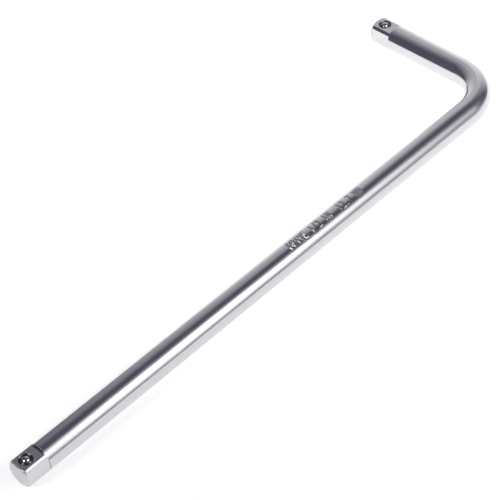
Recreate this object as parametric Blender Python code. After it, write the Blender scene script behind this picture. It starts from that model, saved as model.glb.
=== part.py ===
"""L-handle socket wrench: one round bar bent to an L, with a male square drive at each end.

Each square holds a sprung ball in its top flat, which keeps a socket on the drive.
Units are metres and +Z is up. The tool lies flat. The origin is at the middle of its
outline, on the surface it lies on. The long arm runs along +X to the bend, and the
short arm runs from the bend along +Y.
"""

import math

import bmesh
import bpy
from mathutils import Matrix, Vector

# Sizes of the bent bar
BAR_DIAMETER = 0.016
OVERALL_LENGTH = 0.382
OVERALL_WIDTH = 0.101
BEND_RADIUS = 0.028

# The turned crown of each end: a flat land, then an arc that falls back to the bar's side
END_LAND_DIAMETER = 0.010
END_CROWN_DEPTH = 0.0015

# Sizes of the square drives
DRIVE_SQUARE = 0.0127
DRIVE_LENGTH = 0.015
SHOULDER_FILLET = 0.0008

# Sizes of the ball detent in each drive
BALL_DIAMETER = 0.005
BALL_FROM_END = 0.0065
BALL_CENTRE_DEPTH = 0.00135
BALL_CLEARANCE = 0.00025
DETENT_FLOOR = 0.0022
STAKE_RING_RADIUS = 0.0033
STAKE_RING_WIDTH = 0.0006
STAKE_RING_DEPTH = 0.00035
DRILL_POINT_ANGLE = math.radians(118)

# Sizes of the coil spring under each ball
SPRING_WIRE = 0.0006
SPRING_CLEARANCE = 0.0003
SPRING_TURNS = 4

# How far a cutter reaches past the face it cuts
OVERRUN = 0.001

# Counts of facets
BAR_SIDES = 64
BEND_STEPS = 20
CROWN_STEPS = 8
FILLET_STEPS = 4
DETENT_SIDES = 48
SOCKET_STEPS = 6
BALL_SEGMENTS = 32
BALL_RINGS = 16
POINTS_PER_TURN = 10
SHARP_ANGLE = math.radians(20)

# Sizes that follow from the ones above
BAR_RADIUS = BAR_DIAMETER / 2
HALF_SQUARE = DRIVE_SQUARE / 2
BALL_RADIUS = BALL_DIAMETER / 2
LONG_REACH = OVERALL_LENGTH - BAR_RADIUS
SHORT_REACH = OVERALL_WIDTH - BAR_RADIUS
LONG_TIP_X = -OVERALL_LENGTH / 2
SHORT_TIP_Y = OVERALL_WIDTH / 2
LONG_AXIS_Y = SHORT_TIP_Y - SHORT_REACH
SHORT_AXIS_X = LONG_TIP_X + LONG_REACH
END_LAND_RADIUS = END_LAND_DIAMETER / 2
CROWN_REACH = BAR_RADIUS - END_LAND_RADIUS
CROWN_RADIUS = (CROWN_REACH**2 + END_CROWN_DEPTH**2) / (2 * END_CROWN_DEPTH)
CROWN_ANGLE = math.asin(CROWN_REACH / CROWN_RADIUS)
BALL_CENTRE_Z = HALF_SQUARE - BALL_CENTRE_DEPTH
SOCKET_RADIUS = BALL_RADIUS + BALL_CLEARANCE
MOUTH_RADIUS = math.sqrt(SOCKET_RADIUS**2 - BALL_CENTRE_DEPTH**2)
BALL_TRAVEL = BALL_RADIUS - BALL_CENTRE_DEPTH
POINT_HEIGHT = SOCKET_RADIUS / math.tan(DRILL_POINT_ANGLE / 2)
POINT_Z = DETENT_FLOOR - HALF_SQUARE
POCKET_FLOOR_Z = POINT_Z + POINT_HEIGHT
WIRE_RADIUS = SPRING_WIRE / 2
COIL_RADIUS = SOCKET_RADIUS - SPRING_CLEARANCE - WIRE_RADIUS
SPRING_TO_BALL = BALL_RADIUS + SPRING_CLEARANCE + WIRE_RADIUS
SPRING_TOP_Z = BALL_CENTRE_Z - math.sqrt(SPRING_TO_BALL**2 - COIL_RADIUS**2)
SPRING_FOOT_Z = POCKET_FLOOR_Z + SPRING_CLEARANCE + WIRE_RADIUS

# Each drive's own frame: origin on the bar's axis at the tip, +X into the bar, +Z up
DRIVE_FRAMES = {
    "long_end": Matrix.Translation((LONG_TIP_X, LONG_AXIS_Y, BAR_RADIUS)),
    "short_end": Matrix.Translation((SHORT_AXIS_X, SHORT_TIP_Y, BAR_RADIUS))
    @ Matrix.Rotation(math.radians(-90), 4, "Z"),
}

# Colours read from the photograph
CHROME_COLOUR = (0.62, 0.63, 0.66, 1)
BALL_COLOUR = (0.42, 0.42, 0.44, 1)
SPRING_COLOUR = (0.30, 0.30, 0.32, 1)


def clear_scene():
    """Remove every object, so that the script can be run again."""
    for old in list(bpy.data.objects):
        bpy.data.objects.remove(old, do_unlink=True)


def metal(name, colour, roughness):
    """A Principled BSDF material of bare or plated metal."""
    material = bpy.data.materials.new(name)
    material.use_nodes = True
    shader = material.node_tree.nodes["Principled BSDF"]
    shader.inputs["Base Color"].default_value = colour
    shader.inputs["Metallic"].default_value = 1
    shader.inputs["Roughness"].default_value = roughness
    return material


def satin_chrome():
    """The satin chrome plate of the bar."""
    return metal("satin_chrome", CHROME_COLOUR, roughness=0.28)


def ball_steel():
    """The polished steel of the balls."""
    return metal("ball_steel", BALL_COLOUR, roughness=0.12)


def spring_steel():
    """The oiled wire of the springs."""
    return metal("spring_steel", SPRING_COLOUR, roughness=0.35)


def skin(bm, rings, closed):
    """Join point rings of equal length with quads, and cap the ends or close the loop."""
    loops = [[bm.verts.new(point) for point in ring] for ring in rings]
    pairs = list(zip(loops, loops[1:]))
    if closed:
        pairs.append((loops[-1], loops[0]))
    else:
        bm.faces.new(loops[0])
        bm.faces.new(reversed(loops[-1]))
    for ring, following in pairs:
        for index, corner in enumerate(ring):
            other = (index + 1) % len(ring)
            bm.faces.new((corner, following[index], following[other], ring[other]))


def finish_mesh(name, bm, material):
    """Turn a bmesh into an object whose faces point out."""
    bmesh.ops.recalc_face_normals(bm, faces=bm.faces)
    mesh = bpy.data.meshes.new(name)
    bm.to_mesh(mesh)
    bm.free()
    if material:
        mesh.materials.append(material)
    built = bpy.data.objects.new(name, mesh)
    bpy.context.scene.collection.objects.link(built)
    return built


def shade(built):
    """Shade a piece smooth, with its real edges left sharp."""
    built.data.shade_smooth()
    built.data.set_sharp_from_angle(angle=SHARP_ANGLE)


def section_ring(centre, heading, radius):
    """One round section of the bar: heading is the way the bar runs, about +Z from +X."""
    across = Vector((-math.sin(heading), math.cos(heading), 0))
    ring = []
    for step in range(BAR_SIDES):
        turn = math.tau * step / BAR_SIDES
        ring.append(centre + radius * (across * math.cos(turn) + Vector((0, 0, math.sin(turn)))))
    return ring


def crown_profile():
    """The crown from its land to the bar's side: (depth behind the tip, radius) pairs."""
    profile = []
    for step in range(CROWN_STEPS + 1):
        angle = CROWN_ANGLE * step / CROWN_STEPS
        depth = CROWN_RADIUS * (1 - math.cos(angle))
        profile.append((depth, END_LAND_RADIUS + CROWN_RADIUS * math.sin(angle)))
    return profile


def bar_rings():
    """Sections along the bar: long tip, straight arm, bend, straight arm, short tip."""
    long_tip = Vector((LONG_TIP_X, LONG_AXIS_Y, BAR_RADIUS))
    short_tip = Vector((SHORT_AXIS_X, SHORT_TIP_Y, BAR_RADIUS))
    bend_centre = Vector((SHORT_AXIS_X - BEND_RADIUS, LONG_AXIS_Y + BEND_RADIUS, BAR_RADIUS))
    rings = [
        section_ring(long_tip + Vector((depth, 0, 0)), 0, radius)
        for depth, radius in crown_profile()
    ]
    for step in range(BEND_STEPS + 1):
        heading = math.radians(90) * step / BEND_STEPS
        outward = Vector((math.sin(heading), -math.cos(heading), 0))
        rings.append(section_ring(bend_centre + BEND_RADIUS * outward, heading, BAR_RADIUS))
    upright = math.radians(90)
    for depth, radius in reversed(crown_profile()):
        rings.append(section_ring(short_tip - Vector((0, depth, 0)), upright, radius))
    return rings


def square_ring(along, half):
    """Four corners of a square section across a drive, in the drive's frame."""
    corners = ((-half, -half), (half, -half), (half, half), (-half, half))
    return [Vector((along, across, up)) for across, up in corners]


def square_cutter(name, frame):
    """A hollow cutter that leaves the square: four flats, run out by a fillet at the shoulder."""
    outer = BAR_RADIUS + OVERRUN
    rings = [square_ring(-OVERRUN, outer), square_ring(-OVERRUN, HALF_SQUARE)]
    for step in range(FILLET_STEPS + 1):
        turn = math.radians(90) * step / FILLET_STEPS
        along = DRIVE_LENGTH - SHOULDER_FILLET * (1 - math.sin(turn))
        rings.append(square_ring(along, HALF_SQUARE + SHOULDER_FILLET * (1 - math.cos(turn))))
    rings.append(square_ring(DRIVE_LENGTH, outer))
    bm = bmesh.new()
    skin(bm, rings, closed=True)
    cutter = finish_mesh(name, bm, None)
    cutter.matrix_world = frame
    return mark_as_cutter(cutter)


def mark_as_cutter(cutter):
    """Keep a cutter out of renders, and draw it as wire."""
    cutter.hide_render = True
    cutter.display_type = "WIRE"
    return cutter


def turned_rings(profile):
    """Sweep a profile of (radius, height) points about +Z."""
    rings = []
    for step in range(DETENT_SIDES):
        turn = math.tau * step / DETENT_SIDES
        way = Vector((math.cos(turn), math.sin(turn), 0))
        rings.append([way * radius + Vector((0, 0, height)) for radius, height in profile])
    return rings


def pocket_profile():
    """The blind hole: a round seat closed over the ball, a straight bore and a drill point."""
    profile = []
    mouth_angle = math.asin(BALL_CENTRE_DEPTH / SOCKET_RADIUS)
    for step in range(SOCKET_STEPS + 1):
        angle = mouth_angle * (1 - step / SOCKET_STEPS)
        radius = SOCKET_RADIUS * math.cos(angle)
        profile.append((radius, BALL_CENTRE_Z + SOCKET_RADIUS * math.sin(angle)))
    profile.append((SOCKET_RADIUS, POCKET_FLOOR_Z))
    return profile


def pocket_cutter(name, frame):
    """A turned cutter for the hole that holds the spring and the ball."""
    bm = bmesh.new()
    above = HALF_SQUARE + OVERRUN
    profile = [(MOUTH_RADIUS, above)] + pocket_profile()
    columns = [[bm.verts.new(point) for point in ring] for ring in turned_rings(profile)]
    top = bm.verts.new((0, 0, above))
    point = bm.verts.new((0, 0, POINT_Z))
    for index, column in enumerate(columns):
        following = columns[(index + 1) % len(columns)]
        bm.faces.new((top, column[0], following[0]))
        bm.faces.new((point, following[-1], column[-1]))
        for low in range(1, len(column)):
            bm.faces.new((column[low - 1], column[low], following[low], following[low - 1]))
    cutter = finish_mesh(name, bm, None)
    cutter.matrix_world = frame @ Matrix.Translation((BALL_FROM_END, 0, 0))
    return mark_as_cutter(cutter)


def stake_cutter(name, frame):
    """The ring punch that pressed the mouth in over the ball: a turned V."""
    half = STAKE_RING_WIDTH / 2
    spread = half * (STAKE_RING_DEPTH + OVERRUN) / STAKE_RING_DEPTH
    profile = (
        (STAKE_RING_RADIUS - spread, HALF_SQUARE + OVERRUN),
        (STAKE_RING_RADIUS, HALF_SQUARE - STAKE_RING_DEPTH),
        (STAKE_RING_RADIUS + spread, HALF_SQUARE + OVERRUN),
    )
    bm = bmesh.new()
    skin(bm, turned_rings(profile), closed=True)
    cutter = finish_mesh(name, bm, None)
    cutter.matrix_world = frame @ Matrix.Translation((BALL_FROM_END, 0, 0))
    return mark_as_cutter(cutter)


def cut(target, cutter):
    """Take a cutter's shape out of a piece."""
    modifier = target.modifiers.new(cutter.name, "BOOLEAN")
    modifier.operation = "DIFFERENCE"
    modifier.solver = "EXACT"
    modifier.object = cutter


def keep_cuts(target):
    """Turn a piece's modifiers into its own mesh."""
    evaluated = target.evaluated_get(bpy.context.evaluated_depsgraph_get())
    mesh = bpy.data.meshes.new_from_object(evaluated)
    target.modifiers.clear()
    target.data = mesh


def handle_bar(material):
    """The bent bar with its two squares, and the pocket and stake ring in each."""
    bm = bmesh.new()
    skin(bm, bar_rings(), closed=False)
    bar = finish_mesh("handle_bar", bm, material)
    for end, frame in DRIVE_FRAMES.items():
        cut(bar, square_cutter(end + "_square_cutter", frame))
        cut(bar, pocket_cutter(end + "_pocket_cutter", frame))
        cut(bar, stake_cutter(end + "_stake_cutter", frame))
    keep_cuts(bar)
    shade(bar)
    return bar


def detent_ball(end, frame, material):
    """The ball of one drive, with its origin at its centre, on the axis it slides along."""
    bm = bmesh.new()
    bmesh.ops.create_uvsphere(
        bm, u_segments=BALL_SEGMENTS, v_segments=BALL_RINGS, radius=BALL_RADIUS
    )
    ball = finish_mesh(end + "_ball", bm, material)
    ball.data.shade_smooth()
    ball.matrix_world = frame @ Matrix.Translation((BALL_FROM_END, 0, BALL_CENTRE_Z))
    return ball


def coil_points():
    """Points up the spring's helix, in the drive's frame about the ball's axis."""
    count = SPRING_TURNS * POINTS_PER_TURN
    points = []
    for step in range(count + 1):
        turn = math.tau * step / POINTS_PER_TURN
        height = SPRING_FOOT_Z + (SPRING_TOP_Z - SPRING_FOOT_Z) * step / count
        points.append(Vector((COIL_RADIUS * math.cos(turn), COIL_RADIUS * math.sin(turn), height)))
    return points


def least_gap(points):
    """The smallest clear space between wire that lies at least half a turn apart."""
    nearest = min(
        (points[first] - points[second]).length
        for first in range(len(points))
        for second in range(first + POINTS_PER_TURN // 2, len(points))
    )
    return nearest - SPRING_WIRE


def detent_spring(end, frame, material):
    """The coil spring of one drive: one unbroken tube on a helix."""
    points = coil_points()
    curve = bpy.data.curves.new(end + "_spring", "CURVE")
    curve.dimensions = "3D"
    curve.bevel_depth = WIRE_RADIUS
    curve.bevel_resolution = 1
    curve.use_fill_caps = True
    curve.materials.append(material)
    spline = curve.splines.new("POLY")
    spline.points.add(len(points) - 1)
    for spot, point in zip(spline.points, points):
        spot.co = point.to_4d()
    spring = bpy.data.objects.new(end + "_spring", curve)
    bpy.context.scene.collection.objects.link(spring)
    spring.matrix_world = frame @ Matrix.Translation((BALL_FROM_END, 0, 0))
    print(f"{end}_spring least gap to itself: {least_gap(points) * 1000:.3f} mm")
    return spring


def main():
    """Build the tool: one bar, then a ball and its spring for each drive."""
    clear_scene()
    handle_bar(satin_chrome())
    ball_material = ball_steel()
    spring_material = spring_steel()
    for end, frame in DRIVE_FRAMES.items():
        detent_ball(end, frame, ball_material)
        detent_spring(end, frame, spring_material)
    print(f"ball travel to flush: {BALL_TRAVEL * 1000:.3f} mm")


main()
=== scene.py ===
"""Looks of the L-handle socket wrench: a satin chrome bar with polished detent balls.

Units are metres and +Z is up. The long arm runs along +X and the short arm along +Y.
"""

import math

import bmesh
import bpy
from mathutils import Matrix, Vector


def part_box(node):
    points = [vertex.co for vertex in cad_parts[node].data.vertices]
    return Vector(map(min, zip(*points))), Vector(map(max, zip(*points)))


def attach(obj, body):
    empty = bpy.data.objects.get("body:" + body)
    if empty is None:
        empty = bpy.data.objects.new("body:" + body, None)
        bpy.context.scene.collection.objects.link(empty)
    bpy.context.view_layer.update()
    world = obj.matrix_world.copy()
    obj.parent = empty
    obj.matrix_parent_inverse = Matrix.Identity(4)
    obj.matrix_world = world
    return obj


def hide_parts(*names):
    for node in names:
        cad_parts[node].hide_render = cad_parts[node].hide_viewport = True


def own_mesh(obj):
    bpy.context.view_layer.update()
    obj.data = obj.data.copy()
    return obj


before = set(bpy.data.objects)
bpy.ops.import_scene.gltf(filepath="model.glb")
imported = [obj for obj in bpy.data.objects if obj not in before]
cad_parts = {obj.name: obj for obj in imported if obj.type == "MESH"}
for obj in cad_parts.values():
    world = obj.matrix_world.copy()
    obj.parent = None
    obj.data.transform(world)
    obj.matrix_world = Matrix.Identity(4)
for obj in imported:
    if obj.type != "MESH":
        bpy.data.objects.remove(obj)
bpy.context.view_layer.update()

# The bar, as in the CAD
BAR_RADIUS = 0.008
BEND_RADIUS = 0.028
HALF_SQUARE = 0.00635
SQUARE_LENGTH = 0.015
SHOULDER_FILLET = 0.0008
SHOULDER_ROUND = 0.0003
END_LAND_RADIUS = 0.005
END_CROWN_DEPTH = 0.0015
EDGE_BLEND = 0.00012
END_EDGE_BLEND = 0.0006

# The detents, as in the CAD
BALL_RADIUS = 0.0025
BALL_FROM_END = 0.0065
BALL_CENTRE_DEPTH = 0.00135
SOCKET_RADIUS = 0.00275
MOUTH_RADIUS = math.sqrt(SOCKET_RADIUS**2 - BALL_CENTRE_DEPTH**2)
POCKET_FLOOR_DEPTH = 0.00885
DRILL_POINT_DEPTH = 0.0105
STAKE_RADIUS = 0.0033
STAKE_HALF_WIDTH = 0.00055
STAKE_DEPTH = 0.0005

# The spring under each ball, as in the CAD
WIRE_RADIUS = 0.0003
COIL_RADIUS = 0.00215
SPRING_TURNS = 4
STEPS_PER_TURN = 64
WIRE_SIDES = 16

# How finely the bar is built
COLUMNS = 200
COLUMN_ANGLE = math.tau / COLUMNS
PATCH_COLUMNS = 19
BEND_RINGS = 72

# The stamped size, read from the long end towards the bend
STAMP_TEXT = "DRIVE 1/2 IN  12.7 MM"
STAMP_START = 0.195
STAMP_HEIGHT = 0.0054
STAMP_PITCH = 0.0028
STAMP_WIDTH = 0.0018
STAMP_CENTRE_ANGLE = math.radians(5)
STAMP_COLUMNS = 19
STAMP_SPLIT = 2
STAMP_STEP = 0.00013
STAMP_DEPTH = 0.00028
STAMP_HALF_WIDTH = 0.00042
DISH_DEPTH = 0.00011
DISH_HALF_WIDTH = 0.0009

# Strokes of each character on a grid 2 wide and 4 high
STROKES = {
    "1": (((0.3, 3.2), (1.1, 4), (1.1, 0)),),
    "2": (((0, 3.2), (0.4, 3.9), (1.5, 3.9), (2, 3.1), (1.8, 2.3), (0, 0), (2, 0)),),
    "7": (((0, 4), (2, 4), (0.7, 0)),),
    ".": (((0.9, 0), (1.1, 0.15)),),
    "/": (((0, -0.2), (2, 4.2)),),
    "M": (((0, 0), (0, 4), (1, 1.6), (2, 4), (2, 0)),),
    "I": (((1, 0), (1, 4)),),
    "D": (((0, 0), (0, 4), (1.2, 4), (2, 3), (2, 1), (1.2, 0), (0, 0)),),
    "E": (((2, 4), (0, 4), (0, 0), (2, 0)), ((0, 2.1), (1.6, 2.1))),
    "R": (((0, 0), (0, 4), (1.5, 4), (2, 3.4), (2, 2.7), (1.5, 2), (0, 2)), ((1, 2), (2, 0))),
    "V": (((0, 4), (1, 0), (2, 4)),),
    "N": (((0.1, 0), (0.1, 4), (1.9, 0), (1.9, 4)),),
}

# The photograph's camera
IMAGE_PIXELS = 500
FOCAL_PIXELS = 1817
SENSOR_WIDTH = 36
CAMERA_AZIMUTH = math.radians(-41.24)
CAMERA_ELEVATION = math.radians(44.594)
CAMERA_ROLL = math.radians(6.794)
CAMERA_PLACE = (-0.4699, -0.5520, 0.7024)

# Soft cards of light: compass bearing from +Y to +X, height, half sizes and soft edges in
# degrees, then brightness. Bearings are worked out from CARD_MIDDLE, which keeps the seam
# where they wrap round off every card
LIGHT_CARDS = (
    (71, 10, 10, 24, 8, 5, 0.33),
    (38, 6, 20, 21, 20, 18, 0.82),
    (54, 42, 8, 16, 34, 16, 0.68),
    (165, 37, 25, 21, 27, 20, 1.78),
    (138, 31, 1, 12, 44, 12, 0.99),
    (123, -3, 1, 8, 34, 11, 2.58),
    (20, 44, 20, 18, 22, 18, 0.21),
    (79, 2, 15, 22, 9, 20, 0.70),
    (277, 33, 9, 9, 4, 4, 11.0),
    (157, 41, 9, 9, 4, 4, 8.0),
    (221, 44, 20, 20, 14, 14, -0.05),
)
TENT_RADIUS = 0.62
CARD_MIDDLE = math.radians(41.22)
ROOM_COLOUR = (0.1, 0.102, 0.137, 1)
BACKGROUND_COLOUR = (0.93, 0.93, 0.93, 1)

# The floor's glow: its strength by the long tip and by the short tip, the way that it grows,
# and where along that way it changes
FLOOR_GLOW = (0.61, 0.96)
GLOW_WAY = (0.35, 1, 0)
GLOW_SPAN = (-0.12, 0.08)

# The crowned ends are duller than the rest: how far in from the tip, and by how much
DULL_SPAN = (0.0011, 0.0022)
DULL_ROUGHNESS = 0.35

# Painted shade in a dull dark ring round each ball, over the stake groove: where it is, its colour and finish
SHADE_RING_INNER = (0.0022, 0.0026)
SHADE_RING_OUTER = (0.0037, 0.0041)
PAINTED_SHADE_COLOUR = (0.14, 0.14, 0.145, 1)
PAINTED_SHADE_ROUGHNESS = 0.1

# The same painted shade lies in the fillet of each top flat: where along the drive, how far to
# each side, how far out from the axis it ends, and how high above the axis it starts
FILLET_MIDDLE = 0.0147
FILLET_HALF = (0.0004, 0.0006)
FILLET_REACH = (0.0074, 0.0078)
FILLET_HEIGHT = (0.0058, 0.0062)


def path_length(x_tip, y_tip):
    """Lengths of the long arm, the bend and the short arm along the bar's axis."""
    long_arm = axis_x - BEND_RADIUS - x_tip
    bend = BEND_RADIUS * math.pi / 2
    short_arm = y_tip - BEND_RADIUS - axis_y
    return long_arm, bend, short_arm


low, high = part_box("handle_bar")
axis_z = BAR_RADIUS
axis_y = low.y + BAR_RADIUS
axis_x = high.x - BAR_RADIUS
LONG_ARM, BEND, SHORT_ARM = path_length(low.x, high.y)
WHOLE = LONG_ARM + BEND + SHORT_ARM


def place(s):
    """The axis point, direction and outward side of the bar at the length s from the long tip."""
    if s <= LONG_ARM:
        return Vector((low.x + s, axis_y, axis_z)), Vector((1, 0, 0)), Vector((0, -1, 0))
    if s < LONG_ARM + BEND:
        turn = (s - LONG_ARM) / BEND_RADIUS
        side = Vector((math.sin(turn), -math.cos(turn), 0))
        centre = Vector((axis_x - BEND_RADIUS, axis_y + BEND_RADIUS, axis_z))
        return centre + side * BEND_RADIUS, Vector((math.cos(turn), math.sin(turn), 0)), side
    rest = s - LONG_ARM - BEND
    return Vector((axis_x, axis_y + BEND_RADIUS + rest, axis_z)), Vector((0, 1, 0)), Vector((1, 0, 0))


def soft_min(a, b, blend):
    """The smaller of two lengths, with the corner between them rounded."""
    return min(a, b) - max(blend - abs(a - b), 0) ** 2 / (4 * blend)


def smooth_step(value):
    """0 below 0, 1 above 1 and a soft rise between."""
    value = min(max(value, 0), 1)
    return value * value * (3 - 2 * value)


def surface_radius(angle, turned, half_square, blend):
    """The section's radius at an angle from the top: a turned bar with four flats."""
    quarter = math.pi / 2
    from_flat = (angle + quarter / 2) % quarter - quarter / 2
    return soft_min(turned, half_square / math.cos(from_flat), blend)


def bar_point(s, angle, radius):
    """A point of the bar's surface at the length s, the angle from the top and a radius."""
    centre, direction, side = place(s)
    return centre + (Vector((0, 0, 1)) * math.cos(angle) + side * math.sin(angle)) * radius


def drive_profile():
    """Rings of the crowned end from its middle out: (length, turned radius, half square, blend)."""
    reach = BAR_RADIUS - END_LAND_RADIUS
    crown_radius = (reach**2 + END_CROWN_DEPTH**2) / (2 * END_CROWN_DEPTH)
    rings = [(0, END_LAND_RADIUS / 2, HALF_SQUARE, END_EDGE_BLEND)]
    crown_steps = 56
    for step in range(crown_steps + 1):
        angle = math.asin(reach / crown_radius) * (step / crown_steps) ** 0.75
        sag = crown_radius * (1 - math.cos(angle))
        radius = END_LAND_RADIUS + crown_radius * math.sin(angle)
        rings.append((sag, radius, HALF_SQUARE, END_EDGE_BLEND))
    return rings


def patch_half():
    """Half the side of the square of top flat that is built round the pocket."""
    return HALF_SQUARE * math.tan(PATCH_COLUMNS * COLUMN_ANGLE)


def drive_rings():
    """Every ring of one drive, and the ring numbers where the pocket's square starts and ends."""
    rings = drive_profile()
    half = patch_half()
    across = 2 * PATCH_COLUMNS
    start = BALL_FROM_END - half
    before = rings[-1][0]
    lead_steps = max(2, round((start - before) / 0.0002))
    for step in range(1, lead_steps):
        share = step / lead_steps
        blend = END_EDGE_BLEND + (EDGE_BLEND - END_EDGE_BLEND) * smooth_step(share)
        rings.append((before + (start - before) * share, BAR_RADIUS, HALF_SQUARE, blend))
    first = len(rings)
    for step in range(across + 1):
        rings.append((start + 2 * half * step / across, BAR_RADIUS, HALF_SQUARE, EDGE_BLEND))
    last = len(rings) - 1
    foot = SQUARE_LENGTH - SHOULDER_FILLET
    here = rings[-1][0]
    run_steps = 6
    for step in range(1, run_steps + 1):
        rings.append((here + (foot - here) * step / run_steps, BAR_RADIUS, HALF_SQUARE, EDGE_BLEND))
    fillet_steps = 10
    steepest = math.radians(84)
    for step in range(1, fillet_steps + 1):
        angle = steepest * step / fillet_steps
        rise = SHOULDER_FILLET * (1 - math.cos(angle))
        s = foot + SHOULDER_FILLET * math.sin(angle)
        rings.append((s, BAR_RADIUS, HALF_SQUARE + rise, EDGE_BLEND))
    height = HALF_SQUARE + rise
    slope = math.tan(steepest)
    top = BAR_RADIUS - SHOULDER_ROUND
    wall_steps = 8
    for step in range(1, wall_steps + 1):
        up = (top - height) * step / wall_steps
        rings.append((s + up / slope, BAR_RADIUS, height + up, EDGE_BLEND))
    s = rings[-1][0]
    round_steps = 8
    for step in range(1, round_steps + 1):
        angle = math.radians(6) + math.radians(84) * step / round_steps
        along = SHOULDER_ROUND * (math.cos(math.radians(6)) - math.cos(angle))
        up = SHOULDER_ROUND * (math.sin(angle) - math.sin(math.radians(6)))
        rings.append((s + along, BAR_RADIUS, top + up, EDGE_BLEND))
    end = rings[-1][0]
    for extra in (0.00005, 0.0001, 0.0002, 0.0004):
        rings.append((end + extra, BAR_RADIUS, BAR_RADIUS + extra * 2, EDGE_BLEND))
    rings.append((end + 0.0008, BAR_RADIUS, BAR_RADIUS * 2, EDGE_BLEND))
    return rings, first, last


def pocket_rings():
    """The detent's hole from the flat inwards: (radius, depth) pairs, with the stake ring."""
    rings = []
    outer = STAKE_RADIUS + STAKE_HALF_WIDTH
    groove_steps = 12
    rings.append((outer + 0.00006, 0.0))
    for step in range(groove_steps + 1):
        share = step / groove_steps
        radius = outer - 2 * STAKE_HALF_WIDTH * share
        depth = STAKE_DEPTH * math.sin(math.pi * share) ** 1.3
        rings.append((radius, depth))
    inner = STAKE_RADIUS - STAKE_HALF_WIDTH
    rings.append((inner - 0.00006, 0.0))
    rings.append((MOUTH_RADIUS + 0.00012, 0.0))
    rings.append((MOUTH_RADIUS + 0.00004, 0.00003))
    mouth_angle = math.asin(BALL_CENTRE_DEPTH / SOCKET_RADIUS)
    seat_steps = 8
    for step in range(1, seat_steps + 1):
        angle = mouth_angle * (1 - step / seat_steps)
        depth = BALL_CENTRE_DEPTH - SOCKET_RADIUS * math.sin(angle)
        rings.append((SOCKET_RADIUS * math.cos(angle), depth))
    rings.append((SOCKET_RADIUS, POCKET_FLOOR_DEPTH))
    rings.append((SOCKET_RADIUS / 2, (POCKET_FLOOR_DEPTH + DRILL_POINT_DEPTH) / 2))
    return rings


def stamp_strokes():
    """Every stroke of the stamped size as pairs of points: length along the bar, then across."""
    wide_unit = STAMP_WIDTH / 2
    high_unit = STAMP_HEIGHT / 4
    strokes = []
    for index, letter in enumerate(STAMP_TEXT):
        left = STAMP_START + index * STAMP_PITCH
        for line in STROKES.get(letter, ()):
            points = [(left + x * wide_unit, (y - 2) * high_unit) for x, y in line]
            strokes += zip(points, points[1:])
    return strokes


def stamp_depths(lengths, acrosses):
    """How deep each point of the stamped patch lies below the bar's surface."""
    nearest = [[1.0] * len(acrosses) for _ in lengths]
    reach = DISH_HALF_WIDTH
    first = lengths[0]
    step = lengths[1] - lengths[0]
    for (ax, ay), (bx, by) in stamp_strokes():
        low_row = max(0, int((min(ax, bx) - reach - first) / step))
        high_row = min(len(lengths), int((max(ax, bx) + reach - first) / step) + 2)
        length_squared = (bx - ax) ** 2 + (by - ay) ** 2
        for row in range(low_row, high_row):
            x = lengths[row]
            for column, y in enumerate(acrosses):
                if min(ay, by) - reach < y < max(ay, by) + reach:
                    t = ((x - ax) * (bx - ax) + (y - ay) * (by - ay)) / length_squared
                    t = min(max(t, 0), 1)
                    gap = math.hypot(x - ax - t * (bx - ax), y - ay - t * (by - ay))
                    if gap < nearest[row][column]:
                        nearest[row][column] = gap

    def depth(gap):
        groove = STAMP_DEPTH * smooth_step(1 - gap / STAMP_HALF_WIDTH)
        return groove + DISH_DEPTH * smooth_step(1 - gap / DISH_HALF_WIDTH)

    return [[depth(gap) for gap in row] for row in nearest]


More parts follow.
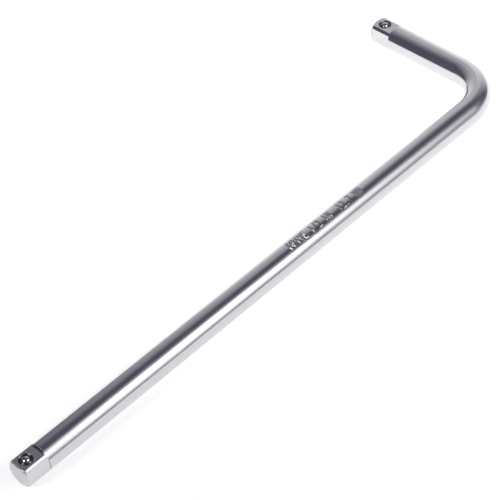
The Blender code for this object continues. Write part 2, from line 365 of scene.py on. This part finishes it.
def bar_mesh():
    """The whole bar as one closed surface."""
    verts = []
    faces = []
    exact = {}

    def add(point, normal=None):
        verts.append(point)
        if normal is not None:
            exact[len(verts) - 1] = normal
        return len(verts) - 1

    def outward(s, angle):
        _, _, side = place(s)
        return Vector((0, 0, 1)) * math.cos(angle) + side * math.sin(angle)

    def ring(s, turned=BAR_RADIUS, half_square=BAR_RADIUS * 2, blend=EDGE_BLEND, left_out=()):
        row = []
        plain = half_square > BAR_RADIUS + EDGE_BLEND
        for column in range(COLUMNS):
            if column in left_out:
                row.append(None)
                continue
            angle = column * COLUMN_ANGLE
            radius = turned if plain else surface_radius(angle, turned, half_square, blend)
            normal = outward(s, angle) if plain else None
            row.append(add(bar_point(s, angle, radius), normal))
        return row

    def bridge(a, b, skip=()):
        for column in range(COLUMNS):
            if column in skip:
                continue
            following = (column + 1) % COLUMNS
            faces.append((a[column], a[following], b[following], b[column]))

    drive, first, last = drive_rings()
    patch = set(range(PATCH_COLUMNS)) | set(range(COLUMNS - PATCH_COLUMNS, COLUMNS))
    patch_inside = patch - {COLUMNS - PATCH_COLUMNS}

    def drive_rows(s_of):
        """The rings of one drive, open inside the pocket's square."""
        rows = []
        for index, (s, *section) in enumerate(drive):
            left_out = patch_inside if first < index < last else ()
            rows.append(ring(s_of(s), *section, left_out))
        return rows

    def drive_end(rows, s_of):
        """Joins one drive's rings, with the pocket in its top flat."""
        for index in range(len(rows) - 1):
            skip = patch if first <= index < last else ()
            bridge(rows[index], rows[index + 1], skip)
        columns = [(c % COLUMNS) for c in range(-PATCH_COLUMNS, PATCH_COLUMNS + 1)]
        loop = [rows[first][c] for c in columns]
        loop += [rows[i][columns[-1]] for i in range(first + 1, last)]
        loop += [rows[last][c] for c in reversed(columns)]
        loop += [rows[i][columns[0]] for i in range(last - 1, first, -1)]
        centre, _, _ = place(s_of(BALL_FROM_END))
        centre = centre + Vector((0, 0, HALF_SQUARE))
        bearings = []
        for vertex in loop:
            away = verts[vertex] - centre
            bearings.append(Vector((away.x, away.y, 0)).normalized())
        previous = loop
        rings = pocket_rings()
        blend_rings = 3
        widest = rings[0][0]
        for step in range(1, blend_rings + 1):
            share = step / (blend_rings + 1)
            row = []
            for vertex, bearing in zip(loop, bearings):
                point = verts[vertex].lerp(centre + bearing * widest, share)
                point.z = centre.z
                row.append(add(point))
            knit(previous, row)
            previous = row
        for radius, depth in rings:
            row = [add(centre + bearing * radius - Vector((0, 0, depth))) for bearing in bearings]
            knit(previous, row)
            previous = row
        point = add(centre - Vector((0, 0, DRILL_POINT_DEPTH)))
        for index, vertex in enumerate(previous):
            faces.append((vertex, previous[(index + 1) % len(previous)], point))

    def knit(outer, inner):
        for index in range(len(outer)):
            following = (index + 1) % len(outer)
            faces.append((outer[index], outer[following], inner[following], inner[index]))

    near_rows = drive_rows(lambda s: s)
    drive_end(near_rows, lambda s: s)
    near_pole = add(bar_point(0, 0, 0))
    for column in range(COLUMNS):
        faces.append((near_rows[0][(column + 1) % COLUMNS], near_rows[0][column], near_pole))

    far_rows = drive_rows(lambda s: WHOLE - s)
    far_start = len(faces)
    drive_end(far_rows, lambda s: WHOLE - s)
    far_pole = add(bar_point(WHOLE, 0, 0))
    for column in range(COLUMNS):
        faces.append((far_rows[0][(column + 1) % COLUMNS], far_rows[0][column], far_pole))
    for index in range(far_start, len(faces)):
        faces[index] = tuple(reversed(faces[index]))

    # The stamped patch, finer than the rest
    stamp_end = STAMP_START + len(STAMP_TEXT) * STAMP_PITCH
    patch_start = STAMP_START - 0.002
    patch_end = stamp_end + 0.002
    coarse_cells = 14
    per_cell = round((patch_end - patch_start) / coarse_cells / STAMP_STEP)
    count = coarse_cells * per_cell
    lengths = [patch_start + (patch_end - patch_start) * i / count for i in range(count + 1)]
    edge = STAMP_COLUMNS
    fine_columns = 2 * edge * STAMP_SPLIT
    fine_angle = COLUMN_ANGLE / STAMP_SPLIT
    angles = [(-edge * COLUMN_ANGLE) + fine_angle * i for i in range(fine_columns + 1)]
    acrosses = [-(angle - STAMP_CENTRE_ANGLE) * BAR_RADIUS for angle in angles]
    depths = stamp_depths(lengths, acrosses)
    fine = []
    for row, s in enumerate(lengths):
        line = []
        for column, angle in enumerate(angles):
            depth = depths[row][column]
            normal = outward(s, angle) if depth == 0 else None
            line.append(add(bar_point(s, angle, BAR_RADIUS - depth), normal))
        fine.append(line)
    for row in range(count):
        for column in range(fine_columns):
            faces.append((fine[row][column], fine[row][column + 1],
                          fine[row + 1][column + 1], fine[row + 1][column]))
    stamped = set(range(edge)) | set(range(COLUMNS - edge, COLUMNS))

    def patch_ring(row):
        """The coarse ring at one row of the patch, with the patch's own points on its top."""
        s = lengths[row]
        points = [None] * COLUMNS
        for column in range(COLUMNS):
            signed = column if column <= COLUMNS // 2 else column - COLUMNS
            if abs(signed) <= edge:
                points[column] = fine[row][(signed + edge) * STAMP_SPLIT]
            else:
                angle = column * COLUMN_ANGLE
                points[column] = add(bar_point(s, angle, BAR_RADIUS), outward(s, angle))
        return points

    coarse = [patch_ring(cell * per_cell) for cell in range(coarse_cells + 1)]
    for cell in range(coarse_cells):
        a, b = coarse[cell], coarse[cell + 1]
        rows = range(cell * per_cell, (cell + 1) * per_cell + 1)
        for column in range(COLUMNS):
            if column in stamped:
                continue
            following = (column + 1) % COLUMNS
            if column == edge:
                side = [fine[row][-1] for row in rows]
                faces.append(tuple(list(reversed(side)) + [a[following], b[following]]))
            elif following == COLUMNS - edge:
                side = [fine[row][0] for row in rows]
                faces.append(tuple(side + [b[column], a[column]]))
            else:
                faces.append((a[column], a[following], b[following], b[column]))

    def meet(plain, patched, row, before):
        """Joins a plain ring to an end of the patch, where the patch has more points."""
        for column in range(COLUMNS):
            following = (column + 1) % COLUMNS
            if column in stamped:
                signed = column if column <= COLUMNS // 2 else column - COLUMNS
                start = (signed + edge) * STAMP_SPLIT
                line = [fine[row][start + i] for i in range(STAMP_SPLIT + 1)]
            else:
                line = [patched[column], patched[following]]
            if before:
                faces.append((plain[column], plain[following], *reversed(line)))
            else:
                faces.append((*line, plain[following], plain[column]))

    def run(previous, start, end, steps):
        """Plain rings from one length to another."""
        for step in range(1, steps + 1):
            row = ring(start + (end - start) * step / steps)
            bridge(previous, row)
            previous = row
        return previous

    start = drive[-1][0]
    row = run(near_rows[-1], start, patch_start - 0.004, 18)
    meet(row, coarse[0], 0, True)
    after = ring(patch_end + 0.004)
    meet(after, coarse[-1], count, False)
    row = run(after, patch_end + 0.004, LONG_ARM, 12)
    row = run(row, LONG_ARM, LONG_ARM + BEND, BEND_RINGS)
    row = run(row, LONG_ARM + BEND, WHOLE - start - 0.002, 8)
    bridge(row, far_rows[-1])

    mesh = bpy.data.meshes.new("bar_surface")
    mesh.from_pydata(verts, [], faces)
    mesh.update()
    bm = bmesh.new()
    bm.from_mesh(mesh)
    bmesh.ops.recalc_face_normals(bm, faces=bm.faces)
    bm.to_mesh(mesh)
    bm.free()
    for polygon in mesh.polygons:
        polygon.use_smooth = True
    zero = Vector((0, 0, 0))
    mesh.normals_split_custom_set_from_vertices([exact.get(i, zero) for i in range(len(verts))])
    return mesh


def ball_mesh(name, centre):
    """A detent ball as turned rings round a level axis."""
    bm = bmesh.new()
    segments = 96
    rows = 48
    poles = (bm.verts.new(centre + Vector((0, 0, BALL_RADIUS))),
             bm.verts.new(centre - Vector((0, 0, BALL_RADIUS))))
    previous = None
    for row in range(1, rows):
        angle = math.pi * row / rows
        radius = BALL_RADIUS * math.sin(angle)
        height = BALL_RADIUS * math.cos(angle)
        line = []
        for segment in range(segments):
            turn = math.tau * segment / segments
            line.append(bm.verts.new(centre + Vector((radius * math.cos(turn), radius * math.sin(turn), height))))
        for segment in range(segments):
            following = (segment + 1) % segments
            if previous is None:
                bm.faces.new((poles[0], line[segment], line[following]))
            else:
                bm.faces.new((previous[segment], line[segment], line[following], previous[following]))
        previous = line
    for segment in range(segments):
        bm.faces.new((previous[(segment + 1) % segments], previous[segment], poles[1]))
    bmesh.ops.recalc_face_normals(bm, faces=bm.faces)
    mesh = bpy.data.meshes.new(name)
    bm.to_mesh(mesh)
    bm.free()
    for polygon in mesh.polygons:
        polygon.use_smooth = True
    return mesh


def spring_mesh(name, axis, foot, top):
    """A coil of round wire about an upright axis, between two heights of the wire's middle."""
    steps = SPRING_TURNS * STEPS_PER_TURN
    climb = (top - foot) / SPRING_TURNS / math.tau
    rings = []
    for step in range(steps + 1):
        turn = math.tau * step / STEPS_PER_TURN
        outward = Vector((math.cos(turn), math.sin(turn), 0))
        onward = Vector((-math.sin(turn), math.cos(turn), climb / COIL_RADIUS)).normalized()
        upward = outward.cross(onward)
        middle = Vector((axis.x, axis.y, foot + climb * turn)) + outward * COIL_RADIUS
        ring = []
        for side in range(WIRE_SIDES):
            angle = math.tau * side / WIRE_SIDES
            ring.append(middle + (outward * math.cos(angle) + upward * math.sin(angle)) * WIRE_RADIUS)
        rings.append(ring)
    bm = bmesh.new()
    rows = [[bm.verts.new(point) for point in ring] for ring in rings]
    for row, following in zip(rows, rows[1:]):
        for side in range(WIRE_SIDES):
            beside = (side + 1) % WIRE_SIDES
            bm.faces.new((row[side], row[beside], following[beside], following[side])).smooth = True
    bm.faces.new(rows[0])
    bm.faces.new(rows[-1])
    bmesh.ops.recalc_face_normals(bm, faces=bm.faces)
    mesh = bpy.data.meshes.new(name)
    bm.to_mesh(mesh)
    bm.free()
    return mesh


def metal(name, colour, roughness, grain, bump, patches):
    """A plated or polished metal whose roughness drifts in soft patches, with a fine grain."""
    material = bpy.data.materials.new(name)
    material.use_nodes = True
    nodes = material.node_tree.nodes
    links = material.node_tree.links
    shader = nodes["Principled BSDF"]
    shader.inputs["Base Color"].default_value = colour
    shader.inputs["Metallic"].default_value = 1
    coordinates = nodes.new("ShaderNodeTexCoord")
    drift = nodes.new("ShaderNodeTexNoise")
    drift.inputs["Scale"].default_value = patches
    drift.inputs["Detail"].default_value = 3
    links.new(coordinates.outputs["Object"], drift.inputs["Vector"])
    span = nodes.new("ShaderNodeMapRange")
    span.inputs["From Min"].default_value = 0.3
    span.inputs["From Max"].default_value = 0.7
    span.inputs["To Min"].default_value = roughness[0]
    span.inputs["To Max"].default_value = roughness[1]
    links.new(drift.outputs["Fac"], span.inputs["Value"])
    links.new(span.outputs["Result"], shader.inputs["Roughness"])
    fine = nodes.new("ShaderNodeTexNoise")
    fine.inputs["Scale"].default_value = grain
    fine.inputs["Detail"].default_value = 2
    links.new(coordinates.outputs["Object"], fine.inputs["Vector"])
    relief = nodes.new("ShaderNodeBump")
    relief.inputs["Strength"].default_value = bump
    relief.inputs["Distance"].default_value = 0.00002
    links.new(fine.outputs["Fac"], relief.inputs["Height"])
    links.new(relief.outputs["Normal"], shader.inputs["Normal"])
    return material


def paint_shade(material, centres):
    """Paints shade on a metal in a ring round each of some upright axes and in the shoulders' fillets, and makes
    it rougher there.
    """
    nodes = material.node_tree.nodes
    links = material.node_tree.links
    shader = nodes["Principled BSDF"]
    coordinates = nodes.new("ShaderNodeTexCoord")
    total = None
    for centre in centres:
        away = nodes.new("ShaderNodeVectorMath")
        away.operation = "DISTANCE"
        away.inputs[1].default_value = (centre.x, centre.y, 0)
        level = nodes.new("ShaderNodeVectorMath")
        level.operation = "MULTIPLY"
        level.inputs[1].default_value = (1, 1, 0)
        links.new(coordinates.outputs["Object"], level.inputs[0])
        links.new(level.outputs["Vector"], away.inputs[0])
        rise = nodes.new("ShaderNodeMapRange")
        rise.interpolation_type = "SMOOTHSTEP"
        rise.inputs["From Min"].default_value = SHADE_RING_INNER[0]
        rise.inputs["From Max"].default_value = SHADE_RING_INNER[1]
        links.new(away.outputs["Value"], rise.inputs["Value"])
        fall = nodes.new("ShaderNodeMapRange")
        fall.interpolation_type = "SMOOTHSTEP"
        fall.inputs["From Min"].default_value = SHADE_RING_OUTER[1]
        fall.inputs["From Max"].default_value = SHADE_RING_OUTER[0]
        links.new(away.outputs["Value"], fall.inputs["Value"])
        both = nodes.new("ShaderNodeMath")
        both.operation = "MULTIPLY"
        links.new(rise.outputs["Result"], both.inputs[0])
        links.new(fall.outputs["Result"], both.inputs[1])
        if total is None:
            total = both.outputs["Value"]
        else:
            either = nodes.new("ShaderNodeMath")
            either.operation = "ADD"
            links.new(total, either.inputs[0])
            links.new(both.outputs["Value"], either.inputs[1])
            total = either.outputs["Value"]
    # The shoulders' fillets get the same painted shade, only above the axis' height set below
    parts = nodes.new("ShaderNodeSeparateXYZ")
    links.new(coordinates.outputs["Object"], parts.inputs["Vector"])
    above = nodes.new("ShaderNodeMapRange")
    above.interpolation_type = "SMOOTHSTEP"
    above.inputs["From Min"].default_value = axis_z + FILLET_HEIGHT[0]
    above.inputs["From Max"].default_value = axis_z + FILLET_HEIGHT[1]
    links.new(parts.outputs["Z"], above.inputs["Value"])
    ends = (("X", low.x + FILLET_MIDDLE, (0, 1, 1), (0, axis_y, axis_z)),
            ("Y", high.y - FILLET_MIDDLE, (1, 0, 1), (axis_x, 0, axis_z)))
    for axis, middle, across, point in ends:
        off = nodes.new("ShaderNodeMath")
        off.operation = "SUBTRACT"
        off.inputs[1].default_value = middle
        links.new(parts.outputs[axis], off.inputs[0])
        gap = nodes.new("ShaderNodeMath")
        gap.operation = "ABSOLUTE"
        links.new(off.outputs["Value"], gap.inputs[0])
        near = nodes.new("ShaderNodeMapRange")
        near.interpolation_type = "SMOOTHSTEP"
        near.inputs["From Min"].default_value = FILLET_HALF[1]
        near.inputs["From Max"].default_value = FILLET_HALF[0]
        links.new(gap.outputs["Value"], near.inputs["Value"])
        flat = nodes.new("ShaderNodeVectorMath")
        flat.operation = "MULTIPLY"
        flat.inputs[1].default_value = across
        links.new(coordinates.outputs["Object"], flat.inputs[0])
        away = nodes.new("ShaderNodeVectorMath")
        away.operation = "DISTANCE"
        away.inputs[1].default_value = point
        links.new(flat.outputs["Vector"], away.inputs[0])
        inside = nodes.new("ShaderNodeMapRange")
        inside.interpolation_type = "SMOOTHSTEP"
        inside.inputs["From Min"].default_value = FILLET_REACH[1]
        inside.inputs["From Max"].default_value = FILLET_REACH[0]
        links.new(above.outputs["Result"], inside.inputs["To Max"])
        links.new(away.outputs["Value"], inside.inputs["Value"])
        both = nodes.new("ShaderNodeMath")
        both.operation = "MULTIPLY_ADD"
        links.new(near.outputs["Result"], both.inputs[0])
        links.new(inside.outputs["Result"], both.inputs[1])
        links.new(total, both.inputs[2])
        total = both.outputs["Value"]
    rougher = nodes.new("ShaderNodeMath")
    rougher.operation = "MULTIPLY_ADD"
    rougher.inputs[1].default_value = PAINTED_SHADE_ROUGHNESS
    links.new(total, rougher.inputs[0])
    links.new(shader.inputs["Roughness"].links[0].from_socket, rougher.inputs[2])
    links.new(rougher.outputs["Value"], shader.inputs["Roughness"])
    # The ramp lays the painted shade over the metal's own colour, darkest where the masks are full
    ramp = nodes.new("ShaderNodeValToRGB")
    ramp.color_ramp.elements[0].color = shader.inputs["Base Color"].default_value
    ramp.color_ramp.elements[1].color = PAINTED_SHADE_COLOUR
    links.new(total, ramp.inputs["Fac"])
    links.new(ramp.outputs["Color"], shader.inputs["Base Color"])


def dull_ends(material):
    """Makes a metal rougher on the crowned end of each drive."""
    nodes = material.node_tree.nodes
    links = material.node_tree.links
    shader = nodes["Principled BSDF"]
    coordinates = nodes.new("ShaderNodeTexCoord")
    parts = nodes.new("ShaderNodeSeparateXYZ")
    links.new(coordinates.outputs["Object"], parts.inputs["Vector"])
    roughness = shader.inputs["Roughness"].links[0].from_socket
    for axis, tip, inwards in (("X", low.x, 1), ("Y", high.y, -1)):
        fade = nodes.new("ShaderNodeMapRange")
        fade.interpolation_type = "SMOOTHSTEP"
        fade.inputs["From Min"].default_value = tip + inwards * DULL_SPAN[1]
        fade.inputs["From Max"].default_value = tip + inwards * DULL_SPAN[0]
        fade.inputs["To Max"].default_value = DULL_ROUGHNESS
        links.new(parts.outputs[axis], fade.inputs["Value"])
        total = nodes.new("ShaderNodeMath")
        total.operation = "ADD"
        links.new(roughness, total.inputs[0])
        links.new(fade.outputs["Result"], total.inputs[1])
        roughness = total.outputs["Value"]
    links.new(roughness, shader.inputs["Roughness"])


def add_piece(name, mesh, material, body, node):
    """A visible piece that stands for a CAD node and rides on its body."""
    mesh.materials.append(material)
    piece = bpy.data.objects.new(name, mesh)
    bpy.context.scene.collection.objects.link(piece)
    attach(piece, body)
    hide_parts(node)
    return piece


def photo_camera():
    """The camera at the photograph's place, with its roll and lens."""
    data = bpy.data.cameras.new("photo_camera")
    data.sensor_width = SENSOR_WIDTH
    data.lens = SENSOR_WIDTH * FOCAL_PIXELS / IMAGE_PIXELS
    data.clip_start = 0.05
    data.clip_end = 50
    camera = bpy.data.objects.new("photo_camera", data)
    bpy.context.scene.collection.objects.link(camera)
    turn = Matrix.Rotation(CAMERA_AZIMUTH, 4, "Z")
    tilt = Matrix.Rotation(math.radians(90) - CAMERA_ELEVATION, 4, "X")
    roll = Matrix.Rotation(-CAMERA_ROLL, 4, "Z")
    camera.matrix_world = Matrix.Translation(CAMERA_PLACE) @ turn @ tilt @ roll
    bpy.context.scene.camera = camera


def pale_floor():
    """A plain white floor that glows a little, so that shadows on it stay faint."""
    bpy.ops.mesh.primitive_plane_add(size=16)
    floor = bpy.context.object
    floor.name = "floor"
    material = bpy.data.materials.new("white_paper")
    material.use_nodes = True
    shader = material.node_tree.nodes["Principled BSDF"]
    shader.inputs["Base Color"].default_value = (0.6, 0.6, 0.6, 1)
    shader.inputs["Roughness"].default_value = 1
    shader.inputs["Specular IOR Level"].default_value = 0
    shader.inputs["Emission Color"].default_value = (1, 1, 1, 1)
    nodes = material.node_tree.nodes
    links = material.node_tree.links
    coordinates = nodes.new("ShaderNodeTexCoord")
    along = nodes.new("ShaderNodeVectorMath")
    along.operation = "DOT_PRODUCT"
    along.inputs[1].default_value = GLOW_WAY
    links.new(coordinates.outputs["Object"], along.inputs[0])
    glow = nodes.new("ShaderNodeMapRange")
    glow.interpolation_type = "SMOOTHSTEP"
    glow.inputs["From Min"].default_value = GLOW_SPAN[0]
    glow.inputs["From Max"].default_value = GLOW_SPAN[1]
    glow.inputs["To Min"].default_value = FLOOR_GLOW[0]
    glow.inputs["To Max"].default_value = FLOOR_GLOW[1]
    links.new(along.outputs["Value"], glow.inputs["Value"])
    links.new(glow.outputs["Result"], shader.inputs["Emission Strength"])
    floor.data.materials.append(material)


def light_tent():
    """A round tent lit in soft patches, which only reflections and surfaces see."""
    bm = bmesh.new()
    bmesh.ops.create_uvsphere(bm, u_segments=64, v_segments=32, radius=TENT_RADIUS)
    mesh = bpy.data.meshes.new("light_tent")
    bm.to_mesh(mesh)
    bm.free()
    tent = bpy.data.objects.new("light_tent", mesh)
    bpy.context.scene.collection.objects.link(tent)
    tent.visible_camera = False
    tent.visible_shadow = False
    material = bpy.data.materials.new("tent_light")
    material.use_nodes = True
    nodes = material.node_tree.nodes
    links = material.node_tree.links
    nodes.clear()

    def math_node(operation, a, b=None):
        node = nodes.new("ShaderNodeMath")
        node.operation = operation
        for index, value in enumerate((a, b)):
            if value is None:
                continue
            if isinstance(value, (int, float)):
                node.inputs[index].default_value = value
            else:
                links.new(value, node.inputs[index])
        return node.outputs[0]

    def soft_edge(value, half, soft):
        node = nodes.new("ShaderNodeMapRange")
        node.interpolation_type = "SMOOTHSTEP"
        node.inputs["From Min"].default_value = math.radians(half + soft)
        node.inputs["From Max"].default_value = math.radians(half - soft)
        links.new(value, node.inputs["Value"])
        return node.outputs["Result"]

    place_on_tent = nodes.new("ShaderNodeTexCoord").outputs["Object"]

    def along(axis):
        node = nodes.new("ShaderNodeVectorMath")
        node.operation = "DOT_PRODUCT"
        node.inputs[1].default_value = axis
        links.new(place_on_tent, node.inputs[0])
        return node.outputs["Value"]

    middle = CARD_MIDDLE
    ahead = along((math.sin(middle), math.cos(middle), 0))
    right = along((math.cos(middle), -math.sin(middle), 0))
    bearing = math_node("ARCTAN2", right, ahead)
    height = math_node("ARCSINE", along((0, 0, 1 / TENT_RADIUS)))
    total = None
    for card_bearing, card_height, half_wide, half_high, soft_wide, soft_high, strength in LIGHT_CARDS:
        from_middle = (card_bearing - math.degrees(middle) + 180) % 360 - 180
        off_bearing = math_node("ABSOLUTE", math_node("SUBTRACT", bearing, math.radians(from_middle)))
        off_height = math_node("ABSOLUTE", math_node("SUBTRACT", height, math.radians(card_height)))
        card = math_node("MULTIPLY", soft_edge(off_bearing, half_wide, soft_wide),
                         soft_edge(off_height, half_high, soft_high))
        card = math_node("MULTIPLY", card, strength)
        total = card if total is None else math_node("ADD", total, card)
    glow = nodes.new("ShaderNodeCombineColor")
    for channel, level in zip(("Red", "Green", "Blue"), ROOM_COLOUR):
        links.new(math_node("ADD", total, level), glow.inputs[channel])
    emission = nodes.new("ShaderNodeEmission")
    links.new(glow.outputs["Color"], emission.inputs["Color"])
    output = nodes.new("ShaderNodeOutputMaterial")
    links.new(emission.outputs["Emission"], output.inputs["Surface"])
    mesh.materials.append(material)


def plain_background():
    """A pale, even background behind the floor."""
    world = bpy.data.worlds.new("plain_background")
    bpy.context.scene.world = world
    world.use_nodes = True
    world.node_tree.nodes["Background"].inputs["Color"].default_value = BACKGROUND_COLOUR


photo_camera()
pale_floor()
light_tent()
plain_background()

chrome = metal("satin_chrome_finish", (0.64, 0.64, 0.65, 1), (0.12, 0.2), 9000, 0.15, 60)
ball_finish = metal("polished_ball_finish", (0.5, 0.5, 0.51, 1), (0.05, 0.1), 4000, 0.05, 400)
spring_finish = metal("oiled_spring_finish", (0.30, 0.30, 0.32, 1), (0.25, 0.4), 6000, 0.1, 900)

dull_ends(chrome)
# Painted shade round each ball and in the fillets of the top flats
paint_shade(chrome, [place(BALL_FROM_END)[0], place(WHOLE - BALL_FROM_END)[0]])
add_piece("bar", bar_mesh(), chrome, "bar", "handle_bar")
for end in ("long", "short"):
    node = end + "_end_ball"
    ball_low, ball_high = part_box(node)
    centre = (ball_low + ball_high) / 2
    mesh = ball_mesh("detent_" + node, centre)
    add_piece("detent_" + node, mesh, ball_finish, end + "_end_detent", node)

    # The coil runs from the foot to the top of the CAD spring's box, its wire's middle half a wire in from each
    node = end + "_end_spring"
    spring_low, spring_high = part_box(node)
    foot = spring_low.z + WIRE_RADIUS
    top = spring_high.z - WIRE_RADIUS
    mesh = spring_mesh("coil_" + node, centre, foot, top)
    coil = add_piece("coil_" + node, mesh, spring_finish, "bar", node)
    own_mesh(coil)

bpy.context.scene.view_settings.view_transform = "Standard"
